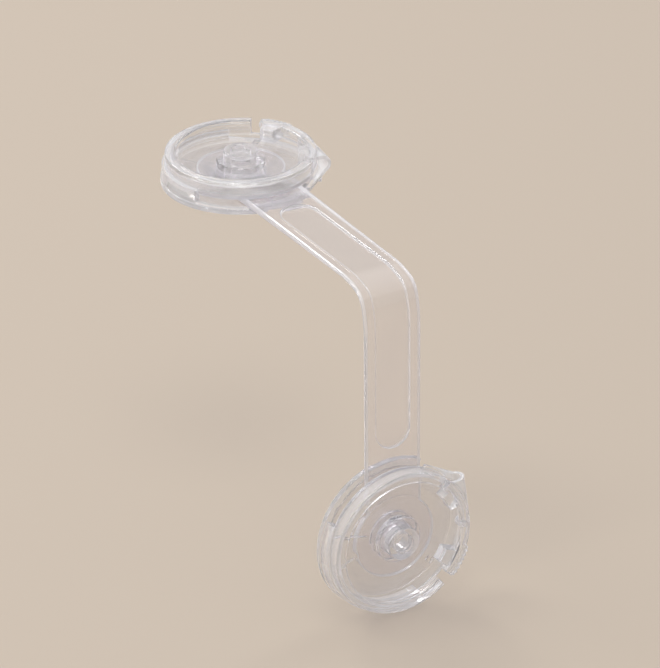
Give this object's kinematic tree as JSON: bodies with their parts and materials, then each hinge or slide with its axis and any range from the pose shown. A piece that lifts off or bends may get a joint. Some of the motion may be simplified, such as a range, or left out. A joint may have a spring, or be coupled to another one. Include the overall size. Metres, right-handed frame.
{
  "type": "cabinet safety lock",
  "caption": "Clear strap lock with round stick-on heads for a cabinet door or drawer; the strap bends over the edge, swings in its heads, and thumb levers release the hooks.",
  "frame": {"origin": "centre of the upper adhesive pad's underside, on the cabinet's top face", "axes": "+Z out of the upper pad's surface, the strap leaves the upper head towards -Y and drops over the front edge, +X towards the release levers"},
  "size_m": [0.0412, 0.101, 0.0965],
  "materials": {
    "adhesive_gel": "clear gel adhesive, satin edge",
    "clear_plate": "clear moulded plastic, polished",
    "clear_stud": "clear moulded plastic, polished",
    "clear_housing": "clear moulded plastic, polished",
    "clear_lever": "clear moulded plastic, polished",
    "clear_strap": "clear flexible plastic, slightly softer gloss"
  },
  "bodies": {
    "upper_head": {"upper_adhesive_pad": "adhesive_gel", "upper_mount_plate": "clear_plate", "upper_pivot_stud": "clear_stud", "upper_housing": "clear_housing"},
    "upper_lever": {"upper_release_lever": "clear_lever"},
    "strap": {"strap": "clear_strap"},
    "lower_head": {"lower_adhesive_pad": "adhesive_gel", "lower_mount_plate": "clear_plate", "lower_pivot_stud": "clear_stud", "lower_housing": "clear_housing"},
    "lower_lever": {"lower_release_lever": "clear_lever"}
  },
  "joints": [
    {"name": "upper_strap_swing", "type": "hinge", "parent": "upper_head", "child": "strap", "pos_m": [0, 0, 0.003], "axis": [0, 0, 1], "range_deg": [-30, 10]},
    {"name": "upper_lever_press", "type": "hinge", "parent": "upper_head", "child": "upper_lever", "pos_m": [0.0181, 0, 0.007], "axis": [0, 0, 1], "range_deg": [0, 10], "stiffness_Nm_per_rad": 0.2},
    {"name": "lower_head_swing", "type": "hinge", "parent": "strap", "child": "lower_head", "pos_m": [0, -0.0745, -0.067], "axis": [0, -1, 0], "range_deg": [-30, 10]},
    {"name": "lower_lever_press", "type": "hinge", "parent": "lower_head", "child": "lower_lever", "pos_m": [0.0181, -0.0785, -0.067], "axis": [0, 1, 0], "range_deg": [0, 10], "stiffness_Nm_per_rad": 0.2}
  ]
}
